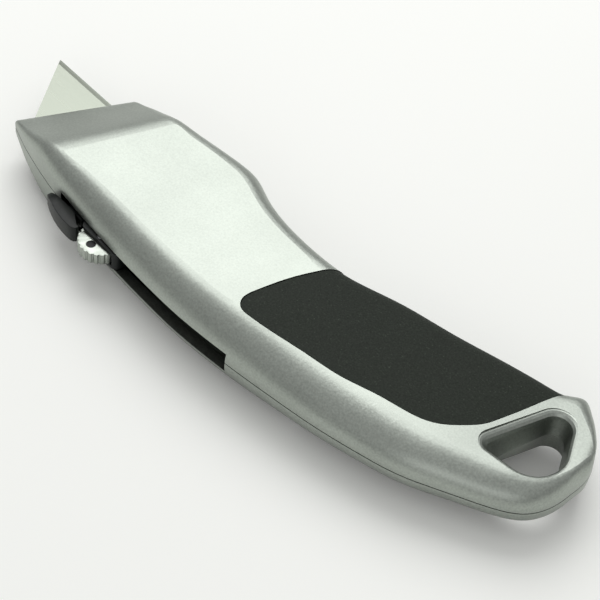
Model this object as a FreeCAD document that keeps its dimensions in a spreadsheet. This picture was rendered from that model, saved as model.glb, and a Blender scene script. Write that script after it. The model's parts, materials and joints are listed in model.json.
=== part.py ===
import FreeCAD, Part
import math
import os
import Sketcher

# A retractable utility knife: two cast half shells with rubber grip inlays, a trapezoid
# blade on a sliding carrier, a thumb button, a ribbed thumb wheel and a magazine of spares.
#
# Frame, in millimetres: the knife lies on its left side. Z = 0 is the flat left side, the
# seam between the shells is at half of body_thickness, +X points to the blade's tip and
# +Y to the thumb slide. X = 0, Y = 0 is on the blade's centre line.

DIMENSIONS = [
    ("body_thickness", 18.0, "both shells together, across the flat sides"),
    ("nose_thickness", 4.0, "both shells together at the blade mouth"),
    ("tail_thickness", 11.2, "both shells together round the hang hole"),
    ("thumb_line", 21.4, "highest point of the thumb side above the centre line"),
    ("belly_line", -12.9, "finger groove below the centre line"),
    ("slot_rear", -17.4, "rear end of the thumb slot"),
    ("handle_length", 67.6, "from the slot's rear end to the tail"),
    ("shell_wall", 2.4, "wall of a shell"),
    ("rib_thickness", 1.2, "inner ribs and rails"),
    ("cavity_front", 50.0, "front end of the hollow"),
    ("sliding_gap", 0.3, "clearance between pieces that slide"),
    ("turning_gap", 0.05, "radial clearance of what turns on a pin"),
    ("slide_travel", 34.0, "travel of the blade carrier"),
    ("slot_width", 5.3, "width of the thumb slot"),
    ("grip_depth", 1.2, "thickness of a grip inlay"),
    ("grip_sink", 0.15, "how far the rubber lies below the metal"),
    ("grip_gap", 0.2, "groove round a grip inlay"),
    ("blade_length", 61.0, "cutting edge"),
    ("blade_back", 31.0, "short side of the blade"),
    ("blade_width", 19.0, "edge to back"),
    ("blade_thickness", 0.6, "strip thickness"),
    ("blade_tip_x", 80.0, "tip of the blade with the slide forward"),
    ("notch_width", 3.2, "notch in the blade's back"),
    ("notch_depth", 2.4, "notch in the blade's back"),
    ("notch_spacing", 12.7, "between the two notches"),
    ("edge_bevel", 1.4, "width of the ground bevel"),
    ("carrier_thickness", 1.4, "steel plate under the blade"),
    ("carrier_front", 46.0, "front end of the plate"),
    ("carrier_rear", 12.0, "rear end of the plate"),
    ("carrier_bottom", -5.0, "lower edge of the plate"),
    ("carrier_top", 13.2, "upper edge of the plate"),
    ("block_front", 40.4, "front end of the slider block"),
    ("block_bottom", 10.0, "lower edge of the slider block"),
    ("block_shoulder", 16.3, "top of the block under the button"),
    ("block_top", 21.2, "top of the two ears beside the wheel"),
    ("wheel_x", 25.2, "axle of the thumb wheel"),
    ("wheel_y", 19.9, "axle of the thumb wheel"),
    ("wheel_diameter", 10.2, "over the ribs"),
    ("wheel_width", 2.8, "along the axle"),
    ("wheel_ribs", 22, "ribs round the rim"),
    ("rib_groove", 0.9, "diameter of the groove between two ribs"),
    ("index_diameter", 2.2, "index dimple in the wheel's face"),
    ("index_depth", 0.8, "index dimple in the wheel's face"),
    ("index_radius", 2.6, "dimple to axle"),
    ("axle_diameter", 1.6, "axle of the thumb wheel"),
    ("button_width", 4.3, "across the slot"),
    ("button_travel", 0.5, "how far the button goes down"),
    ("button_nose", 19.75, "underside of the button's overhanging nose"),
    ("button_high", 23.5, "height of the button at its crest"),
    ("button_base", 18.0, "underside of the button's cap"),
    ("stem_width", 2.6, "button stem across the slot"),
    ("stem_length", 5.2, "button stem along the slot"),
    ("stem_bottom", 15.6, "lower end of the button's stem"),
    ("spring_wire", 0.35, "wire of the button spring"),
    ("spring_diameter", 2.4, "outside of the button spring"),
    ("leaf_thickness", 0.3, "detent leaf spring"),
    ("leaf_width", 2.4, "detent leaf spring"),
    ("leaf_tip_x", 18.0, "where the leaf drops into its notch"),
    ("leaf_drop", 1.6, "height of the leaf's bent tip"),
    ("rivet_diameter", 2.0, "rivets of the slider block"),
    ("dowel_diameter", 2.5, "locating dowels"),
    ("dowel_length", 6.0, "locating dowels"),
    ("screw_x", -33.0, "body screw"),
    ("screw_y", 12.6, "body screw"),
    ("screw_diameter", 3.0, "thread of the body screw"),
    ("screw_head", 5.5, "diameter of the countersunk head"),
    ("screw_length", 10.5, "head face to end"),
    ("screw_sink", 1.8, "head face below the shell's flat side"),
    ("driver_width", 0.9, "driver slot in the head"),
    ("boss_wall", 1.4, "metal round a screw or dowel"),
    ("spare_x", -32.0, "centre of the spare blades"),
    ("spare_y", -3.5, "centre of the spare blades"),
    ("spare_rise", 1.8, "lowest spare blade above the seam"),
    ("spare_pitch", 0.63, "blade thickness with its oil film"),
    ("handle_angle", 15.3, "slope of the handle in degrees"),
    ("strip_thickness", 0.4, "spring strip under the spare blades"),
    ("strip_width", 6.0, "spring strip under the spare blades"),
    ("hole_end_radius", 7.6, "large round end of the hang hole"),
    ("hole_to_tail", 10.7, "centre of the large round end to the tail"),
    ("hole_y", -12.0, "centre of the large round end"),
    ("hole_ramp", 1.6, "how far the hang hole's front corner is drawn back at the seam"),
    ("rim_round", 1.6, "rounded rim of the hang hole"),
    ("seam_step_depth", 0.25, "fine step along the seam"),
    ("seam_step_height", 0.12, "fine step along the seam"),
]

SPARE_BLADES = 3

# Cross sections of the shells, from the blade mouth to the tail. Each row is the thumb
# edge's place and rise against thumb_line, the belly edge's place and rise against
# belly_line, the share of the full thickness, and the rounding of the two corners.
FRONT_SECTIONS = [
    (66.6, -8.3, 55.7, -0.9, 0.00, 0.7, 0.8),
    (63.6, -7.3, 52.8, -1.0, 0.18, 1.0, 1.2),
    (60.5, -6.3, 49.9, -1.1, 0.36, 1.4, 1.6),
    (57.5, -5.5, 47.0, -1.2, 0.54, 1.9, 2.1),
    (54.5, -4.8, 44.2, -1.3, 0.715, 2.5, 2.7),
    (51.8, -4.2, 41.7, -1.5, 0.87, 3.1, 3.3),
    (49.2, -3.7, 39.2, -1.8, 0.97, 3.7, 3.8),
    (46.6, -3.2, 36.8, -2.1, 1.003, 4.3, 4.2),
    (43.0, -2.7, 33.6, -2.6, 1.004, 5.0, 4.6),
    (36.0, -1.9, 28.0, -3.5, 1.004, 6.2, 5.0),
    (26.0, -1.0, 20.0, -4.6, 1.004, 7.0, 5.5),
    (16.0, -0.4, 14.5, -4.1, 1.004, 7.3, 5.5),
    (8.0, -0.1, 8.5, -1.8, 1.004, 7.6, 5.2),
    (-1.0, 0.0, -1.0, 0.1, 1.004, 7.9, 5.0),
    (-10.0, -0.5, -11.0, 0.3, 1.003, 8.2, 5.2),
]
# The same for the handle, with the places as a share of handle_length.
HANDLE_SECTIONS = [
    (0.038, -1.6, 0.038, -1.1, 0.93, 8.5, 5.4),
    (0.186, -3.1, 0.201, -5.2, 0.76, 8.7, 5.6),
    (0.349, -5.0, 0.379, -8.6, 0.58, 8.8, 5.8),
    (0.512, -7.7, 0.556, -12.3, 0.41, 8.6, 5.8),
    (0.660, -11.1, 0.700, -15.0, 0.25, 8.2, 5.6),
    (0.778, -15.3, 0.768, -16.7, 0.12, 7.4, 5.2),
    (0.896, -19.7, 0.811, -18.7, 0.06, 6.6, 5.0),
    (0.967, -23.9, 0.850, -17.3, 0.02, 6.0, 5.0),
    (1.000, -30.4, 0.886, -15.4, 0.00, 5.6, 4.8),
    (1.001, -34.5, 0.910, -13.9, -0.01, 5.2, 4.7),
    (1.000, -37.3, 0.930, -12.5, -0.05, 4.7, 4.4),
    (0.996, -39.4, 0.947, -11.0, -0.20, 3.1, 3.1),
    (0.991, -40.7, 0.958, -9.9, -0.50, 1.9, 1.9),
    (0.986, -41.7, 0.968, -8.6, -1.15, 0.8, 0.8),
]
# Outline of a grip inlay, from below the belly round the front corner, along the thumb
# side and down the rear: share of handle_length and height above the centre line.
GRIP_EDGE = [(0.03, -22.0), (0.0, -12.4), (-0.055, -2.0), (-0.085, 7.5), (-0.084, 11.2), (-0.062, 12.8),
             (-0.02, 12.9), (0.057, 12.0), (0.188, 9.9), (0.318, 7.9), (0.431, 5.0), (0.519, 3.2),
             (0.579, 1.6), (0.623, -0.6), (0.668, -4.4), (0.697, -7.7), (0.713, -11.5),
             (0.730, -16.5), (0.745, -21.8), (0.757, -25.3), (0.785, -34.0)]

SEAM_OVERLAP = 2.0


def fill_sheet():
    """Put every driving dimension in the sheet, one row each."""
    for row, (alias, value, meaning) in enumerate(DIMENSIONS, start=1):
        sheet.set(f"A{row}", meaning)
        sheet.set(f"B{row}", str(value))
        sheet.setAlias(f"B{row}", alias)
    doc.recompute()


def value(expression):
    """Work out an expression of sheet values as a plain number."""
    return float(sheet.evalExpression(expression))


def size(alias):
    """Read one driving dimension."""
    return value("dims." + alias)


# ---------------------------------------------------------------- sketches and bodies

def new_body(label):
    """Start a sub-part as a PartDesign body."""
    body = doc.addObject("PartDesign::Body", label)
    body.Label = label
    parts[label] = body
    return body


def place(body, x="0", y="0", z="0", angle="0"):
    """Bind a body's place, and its turn about Z, to the sheet."""
    body.setExpression("Placement.Base.x", x)
    body.setExpression("Placement.Base.y", y)
    body.setExpression("Placement.Base.z", z)
    if angle != "0":
        body.Placement.Rotation = FreeCAD.Rotation(FreeCAD.Vector(0, 0, 1), value(angle))


def new_sketch(body, name, plane="XY_Plane", level="0"):
    """Attach a sketch to one of the body's own planes, at a level along its normal."""
    sketch = body.newObject("Sketcher::SketchObject", name)
    support = next(f for f in body.Origin.OriginFeatures if f.Role == plane)
    sketch.AttachmentSupport = (support, [""])
    sketch.MapMode = "FlatFace"
    sketch.setExpression("AttachmentOffset.Base.z", level)
    return sketch


def add_outline(sketch, corners):
    """Draw a closed outline whose corners are pairs of expressions."""
    first = sketch.GeometryCount
    points = [FreeCAD.Vector(value(x), value(y), 0) for x, y in corners]
    count = len(corners)
    for i in range(count):
        sketch.addGeometry(Part.LineSegment(points[i], points[(i + 1) % count]))
    for i in range(count):
        following = first + (i + 1) % count
        sketch.addConstraint(Sketcher.Constraint("Coincident", first + i, 2, following, 1))
    for i, (x, y) in enumerate(corners):
        fix_point(sketch, first + i, 1, x, y)


def fix_point(sketch, geometry, end, x, y):
    """Hold a point at a place given by two expressions."""
    for kind, distance in (("DistanceX", x), ("DistanceY", y)):
        index = sketch.addConstraint(Sketcher.Constraint(kind, -1, 1, geometry, end, value(distance)))
        label = f"{kind}{geometry}"
        sketch.renameConstraint(index, label)
        sketch.setExpression("Constraints." + label, distance)


def add_circle(sketch, diameter, x="0", y="0"):
    """Draw a circle with its diameter and centre bound to the sheet."""
    centre = FreeCAD.Vector(value(x), value(y), 0)
    index = sketch.addGeometry(Part.Circle(centre, FreeCAD.Vector(0, 0, 1), value(diameter) / 2))
    constraint = sketch.addConstraint(Sketcher.Constraint("Diameter", index, value(diameter)))
    sketch.renameConstraint(constraint, f"diameter{index}")
    sketch.setExpression(f"Constraints.diameter{index}", diameter)
    fix_point(sketch, index, 3, x, y)


def pad(body, name, sketch, length):
    """Extrude a sketch along its normal."""
    feature = body.newObject("PartDesign::Pad", name)
    feature.Profile = sketch
    feature.setExpression("Length", length)
    body.Tip = feature
    doc.recompute()
    return feature


def pocket(body, name, sketch, length):
    """Cut a sketch out of the body, along the sketch's normal."""
    before = body.Shape.Volume
    feature = body.newObject("PartDesign::Pocket", name)
    feature.Profile = sketch
    feature.Reversed = True
    feature.setExpression("Length", length)
    body.Tip = feature
    doc.recompute()
    if not body.Shape.Volume < before:
        raise RuntimeError(name + " cuts nothing")
    return feature


def revolve(body, name, profile):
    """Turn a half profile, given as radius and height, about the body's Z axis."""
    sketch = new_sketch(body, name + "_profile", "XZ_Plane")
    add_outline(sketch, profile)
    feature = body.newObject("PartDesign::Revolution", name)
    feature.Profile = sketch
    feature.ReferenceAxis = (next(f for f in body.Origin.OriginFeatures if f.Role == "Z_Axis"), [""])
    feature.Angle = 360
    body.Tip = feature
    doc.recompute()
    return feature


def edges_where(shape, test):
    """Names of a shape's edges whose end points pass a test."""
    names = []
    for number, edge in enumerate(shape.Edges, start=1):
        ends = [vertex.Point for vertex in edge.Vertexes]
        if len(ends) == 2 and test(ends[0], ends[1]):
            names.append(f"Edge{number}")
    return names


def dress(body, kind, name, edges, **sizes):
    """Fillet or chamfer edges of the body, with its sizes bound to the sheet."""
    base = body.Tip
    if not edges:
        raise RuntimeError(name + " has no edges")
    feature = body.newObject("PartDesign::" + kind, name)
    feature.Base = (base, edges)
    for key, expression in sizes.items():
        feature.setExpression(key, expression)
    body.Tip = feature
    doc.recompute()
    if feature.Shape.isNull() or not feature.isValid():
        raise RuntimeError(name + " failed")
    return feature


def fillet_corners(body, name, radius, corners):
    """Round the upright edges that stand at the given corners."""
    spots = [(value(x), value(y)) for x, y in corners]

    def upright(a, b):
        level = abs(a.x - b.x) < 1e-6 and abs(a.y - b.y) < 1e-6
        return level and any(math.hypot(a.x - x, a.y - y) < 1e-3 for x, y in spots)

    return dress(body, "Fillet", name, edges_where(body.Shape, upright), Radius=radius)


def rod(label, diameter, length, x, y, z, chamfer="0.2"):
    """A round pin along Z, centred on a place, with chamfered ends."""
    body = new_body(label)
    place(body, x, y, z)
    sketch = new_sketch(body, label + "_section", level=f"-{length} / 2")
    add_circle(sketch, diameter)
    pad(body, label + "_length", sketch, length)
    ends = [f"Edge{n}" for n, e in enumerate(body.Shape.Edges, start=1) if e.Closed]
    dress(body, "Chamfer", label + "_ends", ends, Size=chamfer)
    return body


# ---------------------------------------------------------------- blades

SPARE_FLOOR = "dims.body_thickness / 2 + dims.spare_rise"


def blade(label, x, y, z, angle="0"):
    """A trapezoid blade with two notches in its back and a ground edge."""
    body = new_body(label)
    place(body, x, y, z, angle)
    half_edge, half_back, half_width = "dims.blade_length / 2", "dims.blade_back / 2", "dims.blade_width / 2"
    floor = "dims.blade_width / 2 - dims.notch_depth"
    corners = [("-" + half_edge, "-" + half_width), (half_edge, "-" + half_width), (half_back, half_width)]
    for centre in ("dims.notch_spacing / 2", "-dims.notch_spacing / 2"):
        right, left = centre + " + dims.notch_width / 2", centre + " - dims.notch_width / 2"
        corners += [(right, half_width), (right, floor), (left, floor), (left, half_width)]
    corners.append(("-" + half_back, half_width))
    sketch = new_sketch(body, label + "_outline", level="-dims.blade_thickness / 2")
    add_outline(sketch, corners)
    pad(body, label + "_strip", sketch, "dims.blade_thickness")
    bevel = new_sketch(body, label + "_bevels", "YZ_Plane", level="-dims.blade_length / 2 - 1")
    outside, inside = "-dims.blade_width / 2 - 0.2", "-dims.blade_width / 2 + dims.edge_bevel"
    for side in ("", "-"):
        face = side + "dims.blade_thickness / 2"
        add_outline(bevel, [(outside, side + "0.01"), (inside, face), (outside, face)])
    pocket(body, label + "_edge", bevel, "dims.blade_length + 2")
    return body


# ---------------------------------------------------------------- slider

BLADE_LOW = "dims.body_thickness / 2 - dims.blade_thickness / 2"
BLADE_CENTRE_X = "dims.blade_tip_x - dims.blade_length / 2"
BLOCK_REAR = "dims.wheel_x - dims.wheel_diameter / 2 - 1.8"
FORK_FRONT = "dims.wheel_x + dims.wheel_diameter / 2 + 0.6"
BLOCK_WIDTH = "dims.slot_width - 2 * dims.sliding_gap"
LEAF_RIVET_X = "dims.leaf_tip_x + 18.5"
STEM_FRONT = "dims.block_front - 2.7"
STEM_REAR = "dims.block_front - 2.7 - dims.stem_length"
RIVET_PLACES = [("dims.block_front - 3.4", "dims.block_bottom + 1.6"),
                ("dims.wheel_x - 4.2", "dims.block_bottom + 1.6")]


def blade_carrier():
    """Steel plate under the blade, with a lug that stands in one of the blade's notches."""
    body = new_body("blade_carrier")
    place(body, z=BLADE_LOW + " - dims.carrier_thickness")
    plate = new_sketch(body, "carrier_outline")
    add_outline(plate, [
        ("dims.carrier_rear", "dims.carrier_bottom"),
        ("dims.carrier_front", "dims.carrier_bottom"),
        ("dims.carrier_front", "dims.block_bottom - 1"),
        ("dims.block_front", "dims.carrier_top"),
        (BLOCK_REAR, "dims.carrier_top"),
        ("dims.carrier_rear", "dims.block_bottom - 1"),
    ])
    pad(body, "carrier_plate", plate, "dims.carrier_thickness")
    lug = new_sketch(body, "lug_outline", level="dims.carrier_thickness")
    centre = BLADE_CENTRE_X + " - dims.notch_spacing / 2"
    right, left = centre + " + dims.notch_width / 2 - 0.15", centre + " - dims.notch_width / 2 + 0.15"
    low, high = "dims.blade_width / 2 - dims.notch_depth + 0.15", "dims.blade_width / 2 - 0.1"
    add_outline(lug, [(left, low), (right, low), (right, high), (left, high)])
    pad(body, "carrier_lug", lug, "dims.blade_thickness")
    holes = new_sketch(body, "carrier_rivet_holes")
    for x, y in RIVET_PLACES + [(LEAF_RIVET_X, "2")]:
        add_circle(holes, "dims.rivet_diameter", x, y)
    pocket(body, "carrier_holes", holes, "dims.carrier_thickness")
    corners = [("dims.carrier_rear", "dims.carrier_bottom"), ("dims.carrier_front", "dims.carrier_bottom")]
    fillet_corners(body, "carrier_corners", "1.5", corners)


def slider_block():
    """Plastic saddle on the plate: it guides the button and forks round the wheel."""
    body = new_body("slider_block")
    place(body, z=f"dims.body_thickness / 2 - ({BLOCK_WIDTH}) / 2")
    side = new_sketch(body, "block_outline")
    add_outline(side, [
        (BLOCK_REAR, "dims.block_bottom"),
        ("dims.block_front", "dims.block_bottom"),
        ("dims.block_front", "dims.block_shoulder"),
        (FORK_FRONT, "dims.block_shoulder"),
        (FORK_FRONT, "dims.block_top"),
        (BLOCK_REAR, "dims.block_top"),
    ])
    pad(body, "block_body", side, BLOCK_WIDTH)
    fillet_corners(body, "ear_corners", "1.6", [(FORK_FRONT, "dims.block_top"), (BLOCK_REAR, "dims.block_top")])
    low = f"({BLADE_LOW} - dims.carrier_thickness) - (dims.body_thickness / 2 - ({BLOCK_WIDTH}) / 2)"
    saddle = new_sketch(body, "saddle_outline", level=low)
    add_outline(saddle, [(BLOCK_REAR + " - 1", "dims.block_bottom - 1"), ("dims.block_front + 1", "dims.block_bottom - 1"),
                         ("dims.block_front + 1", "dims.carrier_top"), (BLOCK_REAR + " - 1", "dims.carrier_top")])
    pocket(body, "saddle", saddle, "dims.carrier_thickness")
    fork = new_sketch(body, "fork_outline", level=f"({BLOCK_WIDTH}) / 2 - dims.wheel_width / 2 - 0.2")
    reach = "(dims.wheel_diameter / 2 + 0.5)"
    add_outline(fork, [(f"dims.wheel_x - {reach}", f"dims.wheel_y - {reach}"),
                       (f"dims.wheel_x + {reach} + 1", f"dims.wheel_y - {reach}"),
                       (f"dims.wheel_x + {reach} + 1", "dims.block_top + 1"),
                       (f"dims.wheel_x - {reach}", "dims.block_top + 1")])
    pocket(body, "fork", fork, "dims.wheel_width + 0.4")
    well = new_sketch(body, "stem_well", level=f"({BLOCK_WIDTH}) / 2 - dims.stem_width / 2 - dims.sliding_gap")
    add_outline(well, [(STEM_REAR + " - dims.sliding_gap", "dims.carrier_top"),
                       (STEM_FRONT + " + dims.sliding_gap", "dims.carrier_top"),
                       (STEM_FRONT + " + dims.sliding_gap", "dims.block_shoulder + 1"),
                       (STEM_REAR + " - dims.sliding_gap", "dims.block_shoulder + 1")])
    pocket(body, "stem_pocket", well, "dims.stem_width + 2 * dims.sliding_gap")
    holes = new_sketch(body, "block_holes")
    add_circle(holes, "dims.axle_diameter", "dims.wheel_x", "dims.wheel_y")
    for x, y in RIVET_PLACES:
        add_circle(holes, "dims.rivet_diameter", x, y)
    pocket(body, "axle_and_rivet_holes", holes, BLOCK_WIDTH)


def thumb_button():
    """Button cap with a sloping top, hollowed round the wheel, on a stem."""
    body = new_body("thumb_button")
    place(body, z="dims.body_thickness / 2")
    front, rear = "dims.block_front - 0.2", FORK_FRONT + " + 0.4"
    nose, crest, heel = "dims.block_front + 3.6", "dims.button_high", FORK_FRONT + " - 0.5"
    cap = new_sketch(body, "cap_outline", level="-dims.button_width / 2")
    corners = [(rear, "dims.button_base"), (front, "dims.button_base"), (front, "dims.button_nose"),
               (nose + " - 0.2", "dims.button_nose"), (nose, "dims.button_nose + 0.7"),
               (nose + " - 1.4", crest + " - 1.8"), (nose + " - 5.5", crest + " - 0.6"),
               (heel + " + 4", crest), (heel + " + 1.2", crest), (heel, crest + " - 0.7"),
               (heel, "dims.block_top + 0.6"), (rear, "dims.block_top + 0.6")]
    add_outline(cap, corners)
    pad(body, "cap", cap, "dims.button_width")
    hollow = new_sketch(body, "wheel_hollow", level="-dims.button_width / 2")
    add_circle(hollow, "dims.wheel_diameter + 2 * dims.button_travel + 0.2", "dims.wheel_x", "dims.wheel_y")
    pocket(body, "cap_hollow", hollow, "dims.button_width")
    stem = new_sketch(body, "stem_outline", level="-dims.stem_width / 2")
    add_outline(stem, [(STEM_REAR, "dims.stem_bottom"), (STEM_FRONT, "dims.stem_bottom"),
                       (STEM_FRONT, "dims.button_base"), (STEM_REAR, "dims.button_base")])
    pad(body, "stem", stem, "dims.stem_width")


def lock_wheel():
    """Thumb wheel with ribs round its rim and an index dimple in its face."""
    body = new_body("lock_wheel")
    place(body, "dims.wheel_x", "dims.wheel_y", "dims.body_thickness / 2")
    disc = new_sketch(body, "wheel_outline", level="-dims.wheel_width / 2")
    add_circle(disc, "dims.wheel_diameter")
    add_circle(disc, "dims.axle_diameter + 2 * dims.turning_gap")
    pad(body, "wheel_disc", disc, "dims.wheel_width")
    dimple = new_sketch(body, "index_outline", level="dims.wheel_width / 2 - dims.index_depth")
    add_circle(dimple, "dims.index_diameter", "-0.2", "dims.index_radius")
    pocket(body, "index_dimple", dimple, "dims.index_depth")
    groove = new_sketch(body, "groove_outline", level="-dims.wheel_width / 2")
    add_circle(groove, "dims.rib_groove", "dims.wheel_diameter / 2 + dims.rib_groove / 6")
    cut = pocket(body, "rim_groove", groove, "dims.wheel_width")
    pattern = body.newObject("PartDesign::PolarPattern", "rim_grooves")
    pattern.Originals = [cut]
    pattern.Axis = (next(f for f in body.Origin.OriginFeatures if f.Role == "Z_Axis"), [""])
    pattern.Angle = 360
    pattern.setExpression("Occurrences", "dims.wheel_ribs")
    body.Tip = pattern
    doc.recompute()


def button_spring():
    """Coil spring between the block's floor and the button's stem."""
    helix = doc.addObject("Part::Helix", "spring_path")
    length = "dims.stem_bottom - dims.carrier_top - dims.spring_wire"
    helix.setExpression("Height", length)
    helix.setExpression("Pitch", f"({length}) / 3")
    helix.setExpression("Radius", "dims.spring_diameter / 2 - dims.spring_wire / 2")
    wire = doc.addObject("Part::Circle", "spring_section")
    wire.setExpression("Radius", "dims.spring_wire / 2")
    wire.Placement.Rotation = FreeCAD.Rotation(FreeCAD.Vector(1, 0, 0), 90)
    wire.setExpression("Placement.Base.x", "dims.spring_diameter / 2 - dims.spring_wire / 2")
    doc.recompute()
    coil = doc.addObject("Part::Sweep", "button_spring")
    coil.Label = "button_spring"
    coil.Sections = [wire]
    coil.Spine = (helix, ["Edge1"])
    coil.Solid = True
    coil.Frenet = True
    coil.Placement.Rotation = FreeCAD.Rotation(FreeCAD.Vector(1, 0, 0), -90)
    coil.setExpression("Placement.Base.x", f"{STEM_FRONT} - dims.stem_length / 2")
    coil.setExpression("Placement.Base.y", "dims.carrier_top + dims.spring_wire / 2")
    coil.setExpression("Placement.Base.z", "dims.body_thickness / 2")
    parts["button_spring"] = coil


def bent_strip(label, points, thickness, width, x, y, z, angle="0"):
    """A spring strip: a bent line in the XZ plane, given a thickness and a width along Y."""
    body = new_body(label)
    place(body, x, y, z, angle)
    sketch = new_sketch(body, label + "_profile", "XZ_Plane", level=f"-{width} / 2")
    lower = list(points)
    upper = [(px, f"{pz} + {thickness}") for px, pz in reversed(points)]
    add_outline(sketch, lower + upper)
    pad(body, label + "_width", sketch, width)
    return body


def detent_spring():
    """Leaf spring under the plate: its bent tip drops into the notches of the left shell."""
    tip, drop = "dims.leaf_tip_x", "dims.leaf_drop"
    points = [(tip + " - 1.2", f"-{drop} * 0.3"), (tip, f"-{drop}"), (tip + " + 1.2", f"-{drop} * 0.3"),
              (tip + " + 14", "0"), (tip + " + 21", "0")]
    bent_strip("detent_spring", points, "dims.leaf_thickness", "dims.leaf_width", "0", "2",
               BLADE_LOW + " - dims.carrier_thickness - dims.leaf_thickness")
    body = parts["detent_spring"]
    hole = new_sketch(body, "leaf_rivet_hole")
    add_circle(hole, "dims.rivet_diameter", LEAF_RIVET_X)
    pocket(body, "leaf_hole", hole, "dims.leaf_thickness")


def magazine_spring():
    """Spring strip that holds the spare blades, riveted to its boss at the front end."""
    points = [("-14", "0.2"), ("-4", "0"), ("30", "0")]
    body = bent_strip("magazine_spring", points, "dims.strip_thickness", "dims.strip_width",
                      str(strip_place(0, STRIP_PIN[1]).x), str(strip_place(0, STRIP_PIN[1]).y),
                      str(strip_level()), "dims.handle_angle")
    hole = new_sketch(body, "strip_rivet_hole")
    add_circle(hole, "dims.rivet_diameter", str(STRIP_PIN[0]))
    pocket(body, "strip_hole", hole, "dims.strip_thickness")
    pin = strip_place(*STRIP_PIN)
    headed_pin("magazine_rivet", "dims.rivet_diameter", "3.2", "3.6", "0.5", str(pin.x), str(pin.y),
               str(strip_level()))


def strip_place(x, y):
    """A place of the spare blades' own frame in the knife's."""
    turn = FreeCAD.Rotation(FreeCAD.Vector(0, 0, 1), size("handle_angle"))
    return turn.multVec(FreeCAD.Vector(x, y, 0)) + FreeCAD.Vector(size("spare_x"), size("spare_y"), 0)


def rivets():
    """Two rivets through the saddle block and the plate, in one node."""
    shapes = []
    for number, (x, y) in enumerate(RIVET_PLACES):
        pin = doc.addObject("Part::Cylinder", f"block_rivet_{number}")
        pin.setExpression("Radius", "dims.rivet_diameter / 2")
        pin.setExpression("Height", BLOCK_WIDTH)
        pin.setExpression("Placement.Base.x", x)
        pin.setExpression("Placement.Base.y", y)
        pin.setExpression("Placement.Base.z", f"dims.body_thickness / 2 - ({BLOCK_WIDTH}) / 2")
        shapes.append(pin)
    group = doc.addObject("Part::Compound", "block_rivets")
    group.Label = "block_rivets"
    group.Links = shapes
    parts["block_rivets"] = group


def headed_pin(label, diameter, length, head, head_height, x, y, z):
    """A rivet that points along +Z, with a flat head below z."""
    body = new_body(label)
    place(body, x, y, z)
    shank = new_sketch(body, label + "_shank")
    add_circle(shank, diameter)
    pad(body, label + "_shank_length", shank, length)
    cap = new_sketch(body, label + "_head", level=f"-({head_height})")
    add_circle(cap, head)
    pad(body, label + "_head_height", cap, head_height)
    return body


# ---------------------------------------------------------------- fasteners

def body_screw():
    """Countersunk screw with a driver slot, from the left side into the right boss."""
    body = new_body("body_screw")
    place(body, "dims.screw_x", "dims.screw_y", str(screw_face()))
    rim, core, end = "dims.screw_head / 2", "dims.screw_diameter / 2", "dims.screw_length"
    profile = [("0", "0"), (rim, "0"), (rim, HEAD_EDGE), (core, HEAD_HEIGHT), (core, end + " - 0.5"),
               (core + " - 0.5", end), ("0", end)]
    revolve(body, "screw_turning", profile)
    slot = new_sketch(body, "driver_slot_outline")
    half, reach = "dims.driver_width / 2", "dims.screw_head"
    add_outline(slot, [("-" + reach, "-" + half), (reach, "-" + half), (reach, half), ("-" + reach, half)])
    pocket(body, "driver_slot", slot, "1.0")


HEAD_EDGE = "0.25"
HEAD_HEIGHT = "dims.screw_head / 2 - dims.screw_diameter / 2 + 0.25"
SCREW_PLACE = ("dims.screw_x", "dims.screw_y")
GUARD_PLACE = ("17", "dims.belly_line - 1.2")
DOWEL_PLACES = {
    "nose_dowel": ("53", "dims.blade_width / 2 + 3.2"),
    "guard_dowel": GUARD_PLACE,
    "tail_dowel": ("dims.slot_rear - dims.handle_length + 15.2", "hole_top"),
}


def dowel_place(label):
    """Where a dowel stands; the tail dowel keeps its distance above the hang hole."""
    x, y = DOWEL_PLACES[label]
    if y == "hole_top":
        y = "dims.hole_y + dims.hole_end_radius + 5.5"
    return x, y


def along(share):
    """Place in X of a share of the handle, measured from the slot's rear end."""
    return size("slot_rear") - share * size("handle_length")


# ---------------------------------------------------------------- shells and grips

def sections():
    """All cross sections: thumb point, belly point, half thickness and corner radii."""
    half, nose, tail = size("body_thickness") / 2, size("nose_thickness") / 2, size("tail_thickness") / 2
    rows = [(row, nose, lambda x: x) for row in FRONT_SECTIONS]
    rows += [(row, tail, along) for row in HANDLE_SECTIONS]
    for (thumb_x, thumb_rise, belly_x, belly_rise, share, thumb_round, belly_round), thin, spot in rows:
        thumb = FreeCAD.Vector(spot(thumb_x), size("thumb_line") + thumb_rise, 0)
        belly = FreeCAD.Vector(spot(belly_x), size("belly_line") + belly_rise, 0)
        yield thumb, belly, thin + share * (half - thin), thumb_round, belly_round


def quarter(start, corner, end):
    """A quarter of an ellipse from start to end, inside a corner."""
    bow = 0.5523
    curve = Part.BezierCurve()
    curve.setPoles([start, start + (corner - start) * bow, end + (corner - end) * bow, end])
    return curve.toShape()


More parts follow.
